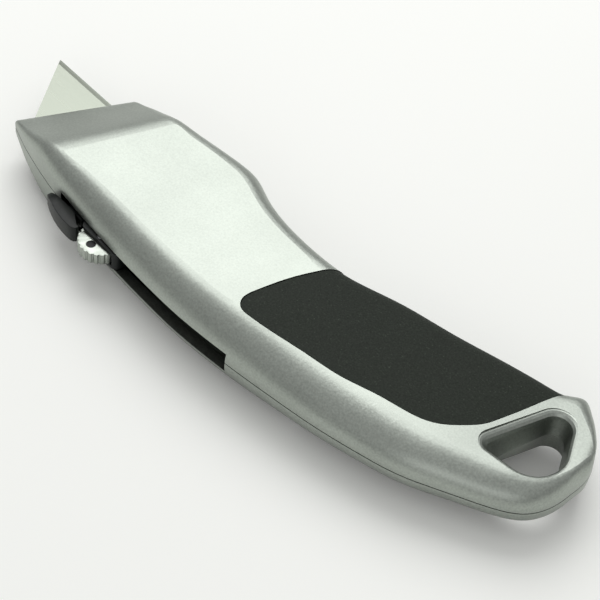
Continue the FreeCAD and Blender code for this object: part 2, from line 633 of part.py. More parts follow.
def section_wire(thumb, belly, depth, thumb_round, belly_round, inset):
    """Half of one cross section, from below the seam over the side and back."""
    across = (belly - thumb).normalize()
    start, end = thumb + across * inset, belly - across * inset
    depth -= inset
    limit = (end - start).Length * 0.46
    r1 = min(max(thumb_round - inset, 0.5), limit)
    r2 = min(max(belly_round - inset, 0.5), limit)
    deep1, deep2 = min(r1, 0.92 * depth), min(r2, 0.92 * depth)
    seam = size("body_thickness") / 2

    def point(base, offset, z):
        return base + across * offset + FreeCAD.Vector(0, 0, seam + z)

    a = point(start, 0, -SEAM_OVERLAP)
    b = point(start, 0, depth - deep1)
    c = point(start, r1, depth)
    d = point(end, -r2, depth)
    e = point(end, 0, depth - deep2)
    f = point(end, 0, -SEAM_OVERLAP)
    return Part.Wire([
        Part.LineSegment(a, b).toShape(),
        quarter(b, point(start, 0, depth), c),
        Part.LineSegment(c, d).toShape(),
        quarter(d, point(end, 0, depth), e),
        Part.LineSegment(e, f).toShape(),
        Part.LineSegment(f, a).toShape(),
    ])


def half_form(inset):
    """The right half of the knife's outer form, drawn in by an inset."""
    key = round(inset, 6)
    if key not in forms:
        wires = [section_wire(*row, inset) for row in sections() if row[2] - inset > 1.0]
        loft = Part.makeLoft(wires, True, False)
        thickness = size("body_thickness")
        slab = Part.makeBox(400, 200, thickness / 2 - inset, FreeCAD.Vector(-200, -100, thickness / 2))
        forms[key] = loft.common(slab)
    return forms[key].copy()


def block_of(x0, x1, y0, y1, z0, z1):
    """A box between two corners."""
    return Part.makeBox(x1 - x0, y1 - y0, z1 - z0, FreeCAD.Vector(x0, y0, z0))


def post(x, y, radius, z0, z1):
    """An upright cylinder between two levels."""
    return Part.makeCylinder(radius, z1 - z0, FreeCAD.Vector(x, y, z0))


def mirror_left(shape):
    """Mirror a right-hand shape over the seam."""
    return shape.mirror(FreeCAD.Vector(0, 0, size("body_thickness") / 2), FreeCAD.Vector(0, 0, 1))


def hull_of_circles(circles):
    """Closed outline round circles listed counter-clockwise, from their outer tangents."""
    count = len(circles)
    tangents = []
    for i, (x0, y0, r0) in enumerate(circles):
        x1, y1, r1 = circles[(i + 1) % count]
        heading = math.atan2(y1 - y0, x1 - x0)
        lean = math.asin((r0 - r1) / math.hypot(x1 - x0, y1 - y0))
        normal = heading - math.pi / 2 + lean
        out = FreeCAD.Vector(math.cos(normal), math.sin(normal), 0)
        tangents.append((FreeCAD.Vector(x0, y0, 0) + out * r0, FreeCAD.Vector(x1, y1, 0) + out * r1, normal))
    edges = []
    for i, (start, end, normal) in enumerate(tangents):
        edges.append(Part.LineSegment(start, end).toShape())
        x, y, r = circles[(i + 1) % count]
        next_start, _, next_normal = tangents[(i + 1) % count]
        turn = (next_normal - normal) % (2 * math.pi)
        middle = normal + turn / 2
        top = FreeCAD.Vector(x + r * math.cos(middle), y + r * math.sin(middle), 0)
        edges.append(Part.Arc(end, top, next_start).toShape())
    return Part.Wire(edges)


def hole_circles(grow=0.0, drawn_back=0.0):
    """The three circles that the hang hole's outline is drawn round."""
    x = along(1.0) + size("hole_to_tail")
    y = size("hole_y")
    return [
        (x, y, size("hole_end_radius") + grow),
        (x + 0.2, y - 7.2, 4.0 + grow),
        (x + 5.6 - drawn_back, y + 6.2 - drawn_back, 2.3 + grow),
    ]


def hang_hole():
    """The hang hole of the right half: a drafted wall that rounds over into the side face."""
    seam, rim = size("body_thickness") / 2, size("rim_round")
    side = seam + size("tail_thickness") / 2 + 0.15
    back = size("hole_ramp")
    rows = [(-1.4, 1.2 * back, seam - 1), (-1.35, back, seam), (-0.75, 0.3 * back, side - rim)]
    for degrees in (30, 55, 75, 88):
        angle = math.radians(degrees)
        rows.append((rim * (1 - math.cos(angle)) - 0.75, 0.1 * back, side - rim + rim * math.sin(angle)))
    rows.append((rim - 0.70, 0.1 * back, side + 1.5))
    wires = [hull_of_circles(hole_circles(grow, drawn)).translated(FreeCAD.Vector(0, 0, z))
             for grow, drawn, z in rows]
    return Part.makeLoft(wires, True, True)


def seam_groove():
    """A fine step round the seam, where the two halves meet."""
    seam = size("body_thickness") / 2
    slab = block_of(-200, 200, -100, 100, seam - 1, seam + size("seam_step_height"))
    return slab.cut(half_form(size("seam_step_depth")))


def grip_prism(grow):
    """Upright prism over a grip inlay's outline, wider by the given gap."""
    points = [FreeCAD.Vector(along(share), y, 0) for share, y in GRIP_EDGE]
    last = len(points) - 1
    moved = []
    for i, point in enumerate(points):
        heading = (points[min(i + 1, last)] - points[max(i - 1, 0)]).normalize()
        moved.append(point + FreeCAD.Vector(-heading.y, heading.x, 0) * -grow)
    edge = Part.BSplineCurve()
    edge.interpolate(moved)
    closing = Part.LineSegment(moved[-1], moved[0]).toShape()
    wire = Part.Wire([edge.toShape(), closing])
    return Part.Face(wire).extrude(FreeCAD.Vector(0, 0, 100))


def grip_skin(inset_outer, grow):
    """The layer of a right grip inlay between the metal's surface and its recess."""
    layer = half_form(inset_outer).common(grip_prism(grow))
    return layer.cut(half_form(size("grip_depth")))


def hollow_half():
    """The right half of the hollow, up to the hang hole's wall."""
    rear = max(x + r for x, y, r in hole_circles()) + size("shell_wall")
    thickness, wall = size("body_thickness"), size("shell_wall")
    rows = [(*row[:2], min(row[2], thickness / 2), *row[3:]) for row in sections()]
    wires = [section_wire(*row, wall) for row in rows if row[2] - wall > 1.0]
    room = block_of(rear, size("cavity_front"), -100, 100, thickness / 2, thickness)
    return Part.makeLoft(wires, True, False).common(room)


def stack_frame(shape):
    """Turn and move a shape from the spare blades' own frame into the knife's."""
    shape.rotate(FreeCAD.Vector(0, 0, 0), FreeCAD.Vector(0, 0, 1), size("handle_angle"))
    shape.translate(FreeCAD.Vector(size("spare_x"), size("spare_y"), 0))
    return shape


def common_cuts():
    """Slot, blade mouth, hang hole and dowel holes, cut in both halves."""
    seam = size("body_thickness") / 2
    half_slot = size("slot_width") / 2
    gap = size("sliding_gap")
    slot_front = size("block_front") + 0.5
    slot = block_of(size("slot_rear"), slot_front, size("block_bottom") + 4, 100, seam - half_slot, seam + half_slot)
    half_blade = size("blade_thickness") / 2 + gap
    half_width = size("blade_width") / 2 + 0.4
    mouth = block_of(size("cavity_front") - 1, 100, -half_width, half_width, seam - half_blade, seam + half_blade)
    cuts = [slot, mouth, hang_hole(), seam_groove()]
    reach = size("dowel_length") / 2 + 0.1
    for label in DOWEL_PLACES:
        x, y = dowel_place(label)
        cuts.append(post(value(x), value(y), size("dowel_diameter") / 2, seam - reach, seam + reach))
    return cuts


def web_to_wall(x, y, half_width):
    """A web as wide as a boss, from the boss to the thumb side's wall."""
    return block_of(x - half_width, x + half_width, y, y + 8, 0, size("body_thickness"))


def half_shell(ribs):
    """A right-hand shell: form less hollow and recess, with ribs and bosses left standing."""
    thickness = size("body_thickness")
    wall = size("boss_wall")
    keep = [post(value(GUARD_PLACE[0]), value(GUARD_PLACE[1]), size("dowel_diameter") / 2 + wall, 0, thickness),
            post(size("screw_x"), size("screw_y"), size("screw_diameter") / 2 + wall, 0, thickness),
            web_to_wall(size("screw_x"), size("screw_y"), size("screw_diameter") / 2 + wall)]
    hollow = hollow_half().cut(keep + ribs)
    outer = half_form(0.0)
    shell = outer.cut([hollow, grip_skin(0.0, size("grip_gap"))])
    return shell.cut(common_cuts())


def right_ribs():
    """Ribs over the blade, and the magazine walls and pads for the spare blades."""
    seam, thickness = size("body_thickness") / 2, size("body_thickness")
    rib, gap = size("rib_thickness"), size("sliding_gap")
    low = seam + size("blade_thickness") / 2 + gap
    front = size("cavity_front")
    ribs = [block_of(18, front, y, y + rib, low, thickness) for y in (-6.5, 5.0)]
    half_edge, half_width = size("blade_length") / 2, size("blade_width") / 2
    half_back = size("blade_back") / 2
    floor = seam + size("spare_rise") - 0.5
    top = value(SPARE_FLOOR) + SPARE_BLADES * size("spare_pitch")
    magazine = [
        block_of(half_edge + gap, half_edge + gap + rib, -half_width, 2, floor, thickness),
        block_of(-half_edge - gap - rib, -half_edge - gap, -half_width, 2, floor, thickness),
        block_of(-half_edge, half_edge, -half_width - gap - 5, -half_width - gap, floor, thickness),
        block_of(-half_back, half_back, half_width + gap, half_width + gap + rib, floor, thickness),
        block_of(-21, -18, -half_width + 2, half_width - 4, top, thickness),
        block_of(18, 21, -half_width + 2, half_width - 4, top, thickness),
        post(STRIP_PIN[0], STRIP_PIN[1], size("rivet_diameter") / 2 + size("boss_wall"),
             strip_level() + size("strip_thickness"), thickness),
    ]
    return ribs + [stack_frame(shape) for shape in magazine]


STRIP_PIN = (27.0, 2.0)


def strip_level():
    """Underside of the spring strip where it is riveted."""
    return size("body_thickness") / 2 + size("spare_rise") - size("strip_thickness") - 0.2


def left_ribs():
    """Rails under the plate, a guide below it and the notched detent rail."""
    seam = size("body_thickness") / 2
    rib, gap = size("rib_thickness"), size("sliding_gap")
    rear = size("carrier_rear") - size("slide_travel") - 0.5
    front = size("carrier_front") + 0.5
    plate_low = value(BLADE_LOW) - size("carrier_thickness")
    rails = [block_of(rear, front, y, y + rib, 0, plate_low - gap) for y in (-4.0, 7.0)]
    guide_top = value(BLADE_LOW) - gap
    low = size("carrier_bottom") - gap
    rails.append(block_of(rear, front, low - rib, low, 0, guide_top))
    tip_level = plate_low - size("leaf_thickness") - size("leaf_drop")
    rail_top = tip_level + 0.6
    tip = size("leaf_tip_x")
    detent = block_of(tip - size("slide_travel") - 3, tip + 3, 0.6, 3.4, 0, rail_top)
    for share in (0.0, 0.5, 1.0):
        x = tip - share * size("slide_travel")
        notch = Part.makeBox(1.8, 4, 1.8, FreeCAD.Vector(-0.9, -2, -0.9))
        notch.rotate(FreeCAD.Vector(0, 0, 0), FreeCAD.Vector(0, 1, 0), 45)
        notch.translate(FreeCAD.Vector(x, 2, rail_top + 0.45))
        detent = detent.cut(notch)
    rails.append(detent)
    middle = FreeCAD.Vector(0, 0, seam)
    return [rail.mirror(middle, FreeCAD.Vector(0, 0, 1)) for rail in rails]


def screw_face():
    """Level of the screw head's outer face, sunk below the left grip."""
    share = (size("slot_rear") - size("screw_x")) / size("handle_length")
    rows = HANDLE_SECTIONS
    full, tail = size("body_thickness") / 2, size("tail_thickness") / 2
    for row, following in zip(rows, rows[1:]):
        if row[0] <= share <= following[0]:
            blend = (share - row[0]) / (following[0] - row[0])
            fullness = row[4] + blend * (following[4] - row[4])
            return full - (tail + fullness * (full - tail)) + size("screw_sink")
    raise RuntimeError("the screw lies outside the handle")


def screw_cuts():
    """Countersunk hole of the left shell, in the left shell's own place."""
    x, y = size("screw_x"), size("screw_y")
    radius, head = size("screw_diameter") / 2, size("screw_head") / 2
    face, gap = screw_face(), 0.15
    seam = size("body_thickness") / 2
    straight = value(HEAD_EDGE)
    height = value(HEAD_HEIGHT) - straight
    shank = post(x, y, radius + gap, 0, seam + 1)
    mouth = post(x, y, head + gap, -1, face + straight + 0.02)
    cone = Part.makeCone(head + gap, radius + gap, height, FreeCAD.Vector(x, y, face + straight + 0.02))
    return [shank, mouth, cone]


def add_shape(label, shape):
    """Add a sub-part whose shape was built here."""
    if len(shape.Solids) == 1:
        shape = shape.Solids[0]
    feature = doc.addObject("Part::Feature", label)
    feature.Label = label
    feature.Shape = shape
    parts[label] = feature


def shells_and_grips():
    """Both half shells and both rubber inlays."""
    seam = size("body_thickness") / 2
    x, y = size("screw_x"), size("screw_y")
    right = half_shell(right_ribs())
    thread = post(x, y, size("screw_diameter") / 2 + size("turning_gap"), 0,
                  screw_face() + size("screw_length") + 0.3)
    pin_x, pin_y = STRIP_PIN
    pin_hole = stack_frame(post(pin_x, pin_y, size("rivet_diameter") / 2, seam, strip_level() + 3.4))
    right = right.cut([thread, pin_hole])
    left = mirror_left(half_shell(left_ribs())).cut(screw_cuts())
    grip = grip_skin(size("grip_sink"), 0.0)
    left_grip = mirror_left(grip).cut(post(x, y, size("screw_head") / 2 + 0.5, -1, seam))
    add_shape("right_shell", right)
    add_shape("left_shell", left)
    add_shape("right_grip", grip)
    add_shape("left_grip", left_grip)


# ---------------------------------------------------------------- the knife

doc = FreeCAD.newDocument("utility_knife")
sheet = doc.addObject("Spreadsheet::Sheet", "dims")
parts = {}
forms = {}
fill_sheet()

shells_and_grips()
blade("utility_blade", BLADE_CENTRE_X, "0", "dims.body_thickness / 2")
for number in range(SPARE_BLADES):
    level = f"{SPARE_FLOOR} + dims.spare_pitch * {number} + dims.blade_thickness / 2"
    blade(f"spare_blade_{number + 1}", "dims.spare_x", "dims.spare_y", level, "dims.handle_angle")
blade_carrier()
slider_block()
thumb_button()
button_spring()
lock_wheel()
rod("wheel_axle", "dims.axle_diameter", "(dims.slot_width - 2 * dims.sliding_gap)", "dims.wheel_x", "dims.wheel_y",
    "dims.body_thickness / 2")
detent_spring()
magazine_spring()
rivets()
headed_pin("leaf_rivet", "dims.rivet_diameter", "dims.carrier_thickness + dims.leaf_thickness", "3.2", "0.4",
           LEAF_RIVET_X, "2", BLADE_LOW + " - dims.carrier_thickness - dims.leaf_thickness")
for label in DOWEL_PLACES:
    rod(label, "dims.dowel_diameter", "dims.dowel_length", *dowel_place(label), "dims.body_thickness / 2")
body_screw()

for label, item in parts.items():
    print(label, item.Shape.isValid(), len(item.Shape.Solids), round(item.Shape.Volume, 1))
doc.recompute()
for item in doc.Objects:
    if any(state in ("Invalid", "Error") for state in item.State):
        raise RuntimeError(item.Label + " failed")
os.makedirs("parts", exist_ok=True)
for label, item in parts.items():
    if item.Shape.isNull() or not item.Shape.isValid():
        raise RuntimeError(label + " has no valid shape")
    item.Shape.exportStep(f"parts/{label}.step")
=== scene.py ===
import json
import math

import bpy
from mathutils import Matrix, Vector


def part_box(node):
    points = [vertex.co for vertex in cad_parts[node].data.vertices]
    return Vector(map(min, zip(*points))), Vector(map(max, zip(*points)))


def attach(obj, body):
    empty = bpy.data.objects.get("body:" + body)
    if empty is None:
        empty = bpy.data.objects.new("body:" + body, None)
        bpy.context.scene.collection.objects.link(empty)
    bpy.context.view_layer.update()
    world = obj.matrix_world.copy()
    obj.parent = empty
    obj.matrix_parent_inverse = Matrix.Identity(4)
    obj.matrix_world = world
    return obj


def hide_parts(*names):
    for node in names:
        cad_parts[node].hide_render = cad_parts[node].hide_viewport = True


bl_info = {
    "name": "Utility knife",
    "version": (1, 0, 0),
    "blender": (4, 5, 0),
    "location": "View3D > Sidebar > Knife",
    "description": "Models a retractable utility knife around its fixed frame",
    "category": "Object",
}

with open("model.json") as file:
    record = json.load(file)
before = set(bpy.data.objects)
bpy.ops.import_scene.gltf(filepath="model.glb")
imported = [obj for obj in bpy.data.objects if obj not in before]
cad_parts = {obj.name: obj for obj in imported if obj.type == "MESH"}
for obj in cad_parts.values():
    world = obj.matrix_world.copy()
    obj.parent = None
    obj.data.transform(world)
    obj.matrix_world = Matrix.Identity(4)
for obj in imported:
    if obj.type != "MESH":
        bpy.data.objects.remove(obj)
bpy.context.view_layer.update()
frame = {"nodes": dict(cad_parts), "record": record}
NODES = frame["nodes"]
MM = 0.001
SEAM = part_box("right_shell")[0].z

SMOOTH_UP_TO = math.radians(30)
WHEEL_SMOOTH_UP_TO = math.radians(40)
ROD_SIDES = 64
FEWEST_FACES = 6
RECESS_REACH = 9 * MM
WHEEL_TONES = (0.32, 0.345, 0.31, 1.0), (0.40, 0.43, 0.39, 1.0)


# ---------------------------------------------------------------- settings

class KnifeColours(bpy.types.PropertyGroup):
    cast_metal: bpy.props.FloatVectorProperty(
        name="Cast metal", description="Satin die-cast shells", subtype="COLOR",
        size=4, default=(0.36, 0.388, 0.352, 1.0), min=0, max=1)
    rubber: bpy.props.FloatVectorProperty(
        name="Rubber", description="Grip inlays", subtype="COLOR",
        size=4, default=(0.016, 0.020, 0.015, 1.0), min=0, max=1)
    plastic: bpy.props.FloatVectorProperty(
        name="Plastic", description="Button and slider block", subtype="COLOR",
        size=4, default=(0.008, 0.010, 0.009, 1.0), min=0, max=1)
    blade_steel: bpy.props.FloatVectorProperty(
        name="Blade steel", description="Blades", subtype="COLOR",
        size=4, default=(0.255, 0.275, 0.235, 1.0), min=0, max=1)
    plain_steel: bpy.props.FloatVectorProperty(
        name="Plain steel", description="Screw, dowels, rivets and springs", subtype="COLOR",
        size=4, default=(0.45, 0.46, 0.47, 1.0), min=0, max=1)


class KnifeSizes(bpy.types.PropertyGroup):
    wheel_ribs: bpy.props.IntProperty(
        name="Wheel ribs", description="Ribs round the thumb wheel", default=22, min=12, max=40)
    rib_height: bpy.props.FloatProperty(
        name="Rib height", description="Depth of the grooves between the ribs",
        default=0.0003, min=0.0001, max=0.001, unit="LENGTH")


# ---------------------------------------------------------------- tools

def clear_selection():
    """Leave nothing selected."""
    if bpy.context.object and bpy.context.object.mode != "OBJECT":
        bpy.ops.object.mode_set(mode="OBJECT")
    bpy.ops.object.select_all(action="DESELECT")


def choose(piece):
    """Make one piece the selected and active one."""
    clear_selection()
    piece.select_set(True)
    bpy.context.view_layer.objects.active = piece


def finish_piece(piece, name, body, material, replaced=()):
    """Name a piece, put its place in its mesh and tie it to its body."""
    choose(piece)
    bpy.ops.object.transform_apply(location=True, rotation=True, scale=True)
    piece.name = name
    piece.data.name = name
    piece.data.materials.clear()
    piece.data.materials.append(material)
    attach(piece, body)
    if replaced:
        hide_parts(*replaced)


def apply_modifier(piece, kind, **settings):
    """Add a modifier, set it and apply it."""
    choose(piece)
    modifier = piece.modifiers.new(kind.title(), kind)
    for key, setting in settings.items():
        setattr(modifier, key, setting)
    bpy.ops.object.modifier_apply(modifier=modifier.name)


def soften(piece, width, angle=35, segments=3):
    """Round a piece's sharp edges and shade it smoothly."""
    apply_modifier(piece, "BEVEL", width=width, segments=segments, limit_method="ANGLE",
                   angle_limit=math.radians(angle), harden_normals=False)
    choose(piece)
    bpy.ops.object.shade_smooth_by_angle(angle=SMOOTH_UP_TO)


def trace(points, height):
    """A flat outline traced corner by corner, filled and extruded upwards."""
    clear_selection()
    corners = [Vector(p) for p in points]
    bpy.ops.mesh.primitive_plane_add(size=MM, location=corners[0])
    piece = bpy.context.object
    bpy.ops.object.transform_apply(location=True)
    bpy.ops.object.mode_set(mode="EDIT")
    bpy.ops.mesh.select_all(action="SELECT")
    bpy.ops.mesh.merge(type="CENTER")
    for a, b in zip(corners, corners[1:]):
        bpy.ops.mesh.extrude_vertices_move(TRANSFORM_OT_translate={"value": b - a})
    bpy.ops.mesh.select_all(action="SELECT")
    bpy.ops.mesh.edge_face_add()
    bpy.ops.mesh.extrude_region_move(TRANSFORM_OT_translate={"value": (0, 0, height)})
    bpy.ops.mesh.select_all(action="SELECT")
    bpy.ops.mesh.normals_make_consistent(inside=False)
    bpy.ops.object.mode_set(mode="OBJECT")
    return piece


def rod(spot, radius, low, high):
    """An upright round rod between two levels."""
    clear_selection()
    bpy.ops.mesh.primitive_cylinder_add(
        vertices=ROD_SIDES, radius=radius, depth=high - low,
        location=(spot[0], spot[1], (low + high) / 2))
    bpy.ops.object.transform_apply(location=True)
    return bpy.context.object


def cut(piece, other, operation):
    """Cut one piece with another, or keep what they share, and drop the other."""
    apply_modifier(piece, "BOOLEAN", object=other, operation=operation, solver="EXACT")
    bpy.data.objects.remove(other)
    if len(piece.data.polygons) < FEWEST_FACES:
        raise RuntimeError("nothing is left of " + piece.name)


def join(pieces):
    """Join pieces into the first one."""
    clear_selection()
    for piece in pieces:
        piece.select_set(True)
    bpy.context.view_layer.objects.active = pieces[0]
    bpy.ops.object.join()


# ---------------------------------------------------------------- materials

def colours():
    return bpy.context.scene.knife_colours


def kept_as(name):
    """Make a material on the first call; a later call finds it by its name."""
    def wrap(make):
        def find_or_make():
            return bpy.data.materials.get(name) or make(name)
        return find_or_make
    return wrap


def new_material(name):
    """A material with its shader and its object coordinates."""
    material = bpy.data.materials.new(name)
    material.use_nodes = True
    tree = material.node_tree
    shader = tree.nodes["Principled BSDF"]
    place = tree.nodes.new("ShaderNodeTexCoord")
    return material, tree, shader, place.outputs["Object"]


def noise(tree, place, scale, detail=4.0, stretch=None):
    """Noise in the object's own metres; scale is the number of cells per metre."""
    node = tree.nodes.new("ShaderNodeTexNoise")
    node.inputs["Scale"].default_value = scale
    node.inputs["Detail"].default_value = detail
    if stretch:
        mapping = tree.nodes.new("ShaderNodeMapping")
        mapping.inputs["Scale"].default_value = stretch
        tree.links.new(place, mapping.inputs["Vector"])
        place = mapping.outputs["Vector"]
    tree.links.new(place, node.inputs["Vector"])
    return node.outputs["Fac"]


def ramp(tree, value, stops):
    """A colour ramp over a value; stops are (place, grey or colour)."""
    node = tree.nodes.new("ShaderNodeValToRGB")
    tree.links.new(value, node.inputs["Fac"])
    elements = node.color_ramp.elements
    while len(elements) < len(stops):
        elements.new(0.5)
    for element, (spot, colour) in zip(elements, stops):
        element.position = spot
        if isinstance(colour, float):
            colour = (colour, colour, colour, 1.0)
        element.color = colour
    return node.outputs["Color"]


def multiply(tree, first, second):
    """One colour times another."""
    node = tree.nodes.new("ShaderNodeMix")
    node.data_type, node.blend_type = "RGBA", "MULTIPLY"
    node.inputs["Factor"].default_value = 1.0
    colours_in = [socket for socket in node.inputs if socket.type == "RGBA"]
    tree.links.new(first, colours_in[0])
    tree.links.new(second, colours_in[1])
    return [socket for socket in node.outputs if socket.type == "RGBA"][0]


def bump(tree, shader, height, distance, strength=1.0):
    """Raise the surface by a height map, in metres."""
    node = tree.nodes.new("ShaderNodeBump")
    node.inputs["Distance"].default_value = distance
    node.inputs["Strength"].default_value = strength
    tree.links.new(height, node.inputs["Height"])
    tree.links.new(node.outputs["Normal"], shader.inputs["Normal"])


def tinted(colour, factor):
    """A colour made lighter or darker."""
    return tuple(min(1.0, c * factor) for c in colour[:3]) + (1.0,)


@kept_as("knife_cast_metal")
def cast_metal(name):
    """Satin die-cast metal: fine grain, slight mottling, and painted shade that darkens its
    recesses.
    """
    material, tree, shader, place = new_material(name)
    base = colours().cast_metal
    mottle = noise(tree, place, scale=60, detail=3)
    flakes = noise(tree, place, scale=2300, detail=2)
    tone = ramp(tree, mottle, [(0.3, tinted(base, 0.95)), (0.7, tinted(base, 1.04))])
    speck = ramp(tree, flakes, [(0.28, 0.86), (0.5, 1.0), (0.72, 1.14)])
    blend = multiply(tree, tone, speck)
    # Painted shade: ambient occlusion darkens the colour in the hole, the slot and other recesses.
    recess = tree.nodes.new("ShaderNodeAmbientOcclusion")
    recess.inputs["Distance"].default_value = RECESS_REACH
    painted_shade = ramp(tree, recess.outputs["AO"], [(0.12, 0.04), (0.58, 0.60), (0.86, 1.0)])
    shade_darkened = multiply(tree, blend, painted_shade)
    tree.links.new(shade_darkened, shader.inputs["Base Color"])
    tree.links.new(ramp(tree, flakes, [(0.25, 0.36), (0.75, 0.46)]), shader.inputs["Roughness"])
    shader.inputs["Metallic"].default_value = 1.0
    bump(tree, shader, flakes, distance=0.00004, strength=0.35)
    return material


@kept_as("knife_rubber")
def rubber(name):
    """Matte rubber with a fine moulded grain and faint dust."""
    material, tree, shader, place = new_material(name)
    base = colours().rubber
    dust = noise(tree, place, scale=2600, detail=2)
    tones = [(0.35, base), (0.66, tinted(base, 1.5)), (0.84, tinted(base, 4.5))]
    tree.links.new(ramp(tree, dust, tones), shader.inputs["Base Color"])
    grain = noise(tree, place, scale=3000, detail=3)
    tree.links.new(ramp(tree, grain, [(0.3, 0.6), (0.7, 0.75)]), shader.inputs["Roughness"])
    shader.inputs["Specular IOR Level"].default_value = 0.17
    bump(tree, shader, grain, distance=0.00008, strength=0.5)
    return material


@kept_as("knife_plastic")
def plastic(name):
    """Black moulded plastic with a fine texture."""
    material, tree, shader, place = new_material(name)
    base = colours().plastic
    cloud = noise(tree, place, scale=300, detail=3)
    tree.links.new(ramp(tree, cloud, [(0.3, tinted(base, 0.85)), (0.7, tinted(base, 1.3))]),
                   shader.inputs["Base Color"])
    grain = noise(tree, place, scale=5000, detail=2)
    tree.links.new(ramp(tree, grain, [(0.3, 0.36), (0.7, 0.48)]), shader.inputs["Roughness"])
    shader.inputs["Specular IOR Level"].default_value = 0.25
    bump(tree, shader, grain, distance=0.00004, strength=0.35)
    return material


@kept_as("knife_wheel_metal")
def wheel_metal(name):
    """Bright satin metal of the thumb wheel, slightly clouded."""
    material, tree, shader, place = new_material(name)
    streaks = noise(tree, place, scale=900, detail=3)
    dull, bright = WHEEL_TONES
    tree.links.new(ramp(tree, streaks, [(0.3, dull), (0.7, bright)]), shader.inputs["Base Color"])
    grain = noise(tree, place, scale=5200, detail=2)
    tree.links.new(ramp(tree, grain, [(0.3, 0.28), (0.7, 0.4)]), shader.inputs["Roughness"])
    shader.inputs["Metallic"].default_value = 1.0
    bump(tree, shader, grain, distance=0.00002, strength=0.3)
    return material


@kept_as("knife_blade_steel")
def blade_steel(name):
    """Ground strip steel with fine lines along the blade."""
    material, tree, shader, place = new_material(name)
    base = colours().blade_steel
    lines = noise(tree, place, scale=900, detail=3, stretch=(0.02, 1.0, 1.0))
    tree.links.new(ramp(tree, lines, [(0.3, tinted(base, 0.86)), (0.7, tinted(base, 1.1))]),
                   shader.inputs["Base Color"])
    tree.links.new(ramp(tree, lines, [(0.3, 0.24), (0.7, 0.4)]), shader.inputs["Roughness"])
    shader.inputs["Metallic"].default_value = 1.0
    bump(tree, shader, lines, distance=0.00001, strength=0.3)
    return material


@kept_as("knife_plain_steel")
def plain_steel(name):
    """Zinc-plated steel of the small hardware."""
    material, tree, shader, place = new_material(name)
    base = colours().plain_steel
    cloud = noise(tree, place, scale=700, detail=4)
    tree.links.new(ramp(tree, cloud, [(0.3, tinted(base, 0.85)), (0.7, tinted(base, 1.15))]),
                   shader.inputs["Base Color"])
    tree.links.new(ramp(tree, cloud, [(0.3, 0.28), (0.7, 0.42)]), shader.inputs["Roughness"])
    shader.inputs["Metallic"].default_value = 1.0
    return material


# ---------------------------------------------------------------- pieces

# The cap's side outline in millimetres, from its foremost and highest point.
CAP_SIDE = (
    (-9.1, -3.75), (-4.2, -3.75), (-3.8, -3.75), (-0.25, -3.75), (-0.02, -3.3), (-0.3, -2.75),
    (-1.0, -2.3), (-2.2, -1.8), (-3.6, -1.35), (-5.2, -0.85), (-7.2, -0.4), (-9.4, -0.1),
    (-11.4, -0.02), (-12.5, -0.1), (-13.2, -0.4), (-13.55, -0.85), (-13.58, -1.68), (-12.7, -1.7))
NOSE_LENGTH = 4.6 * MM
NOSE_REACH = 4.58 * MM
NOSE_STEPS = 16
PRISM_SPARE = MM
PLAN_HEIGHT = 12 * MM
PLAN_BELOW_CREST = 8 * MM
CAP_ROUNDING = 0.55 * MM
CAP_ROUNDED_FROM = 40
STEM_WIDTH = 2.6 * MM
STEM_LENGTH = 5.2 * MM
STEM_HEIGHT = 4.2 * MM
STEM_FROM_HEEL = 4.7 * MM
STEM_ROUNDING = 0.3 * MM


class KNIFE_OT_button(bpy.types.Operator):
    """Thumb button with a rounded nose, a crowned top and its stem"""
    bl_idname = "knife.button"
    bl_label = "Thumb button"

    def execute(self, context):
        low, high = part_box("thumb_button")
        button = self.side_prism(low, high)
        cut(button, self.plan_prism(low, high), "INTERSECT")
        soften(button, CAP_ROUNDING, angle=CAP_ROUNDED_FROM, segments=4)
        join([button, self.stem(low)])
        finish_piece(button, "thumb_button_cap", "button", plastic(),
                     ["thumb_button"])
        return {"FINISHED"}

    def side_prism(self, low, high):
        """The cap seen from the side, a little wider than it ends up."""
        corners = [(high.x + x * MM, high.y + y * MM, low.z - PRISM_SPARE) for x, y in CAP_SIDE]
        return trace(corners, high.z - low.z + 2 * PRISM_SPARE)

    def plan_prism(self, low, high):
        """The cap seen from above, with its round nose, as an upright prism."""
        half = (high.z - low.z) / 2
        plan = [(low.x, -1.0), (low.x, 1.0)]
        for step in range(NOSE_STEPS + 1):
            angle = math.radians(90 - step * 180 / NOSE_STEPS)
            plan.append((high.x - NOSE_LENGTH + NOSE_REACH * math.cos(angle), math.sin(angle)))
        form = trace([(x, z * half, 0) for x, z in reversed(plan)], PLAN_HEIGHT)
        choose(form)
        bpy.ops.transform.rotate(
            value=math.radians(90), orient_axis="X", center_override=(0, 0, 0))
        bpy.ops.object.transform_apply(location=True, rotation=True, scale=True)
        heights = [v.co.y for v in form.data.vertices]
        sides = [v.co.z for v in form.data.vertices]
        middle = (min(sides) + max(sides)) / 2
        shift = Vector((0, high.y - PLAN_BELOW_CREST - min(heights), SEAM - middle))
        bpy.ops.transform.translate(value=shift)
        bpy.ops.object.transform_apply(location=True)
        return form

    def stem(self, low):
        """The stem under the cap, with softened corners."""
        clear_selection()
        bpy.ops.mesh.primitive_cube_add(
            size=1, location=(low.x + STEM_FROM_HEEL, low.y + STEM_HEIGHT / 2, SEAM),
            scale=(STEM_LENGTH, STEM_HEIGHT, STEM_WIDTH))
        stem = bpy.context.object
        bpy.ops.object.transform_apply(location=True, scale=True)
        soften(stem, STEM_ROUNDING)
        return stem


RIM_STEPS_PER_RIB = 8
RIM_SPARE = 0.01 * MM
RIM_ROUNDING = 0.12 * MM
RIM_ROUNDED_FROM = 60
GROOVE_POWER = 0.7
BORE_RADIUS = 0.85 * MM
INDEX_OFFSET = 2.6 * MM
DIMPLE_RADIUS = 1.1 * MM
DIMPLE_DEPTH = 0.8 * MM
DOT_RADIUS = 1.08 * MM
DOT_FOOT = 0.78 * MM
DOT_SINK = 0.1 * MM
DOT_ROUNDING = 0.1 * MM


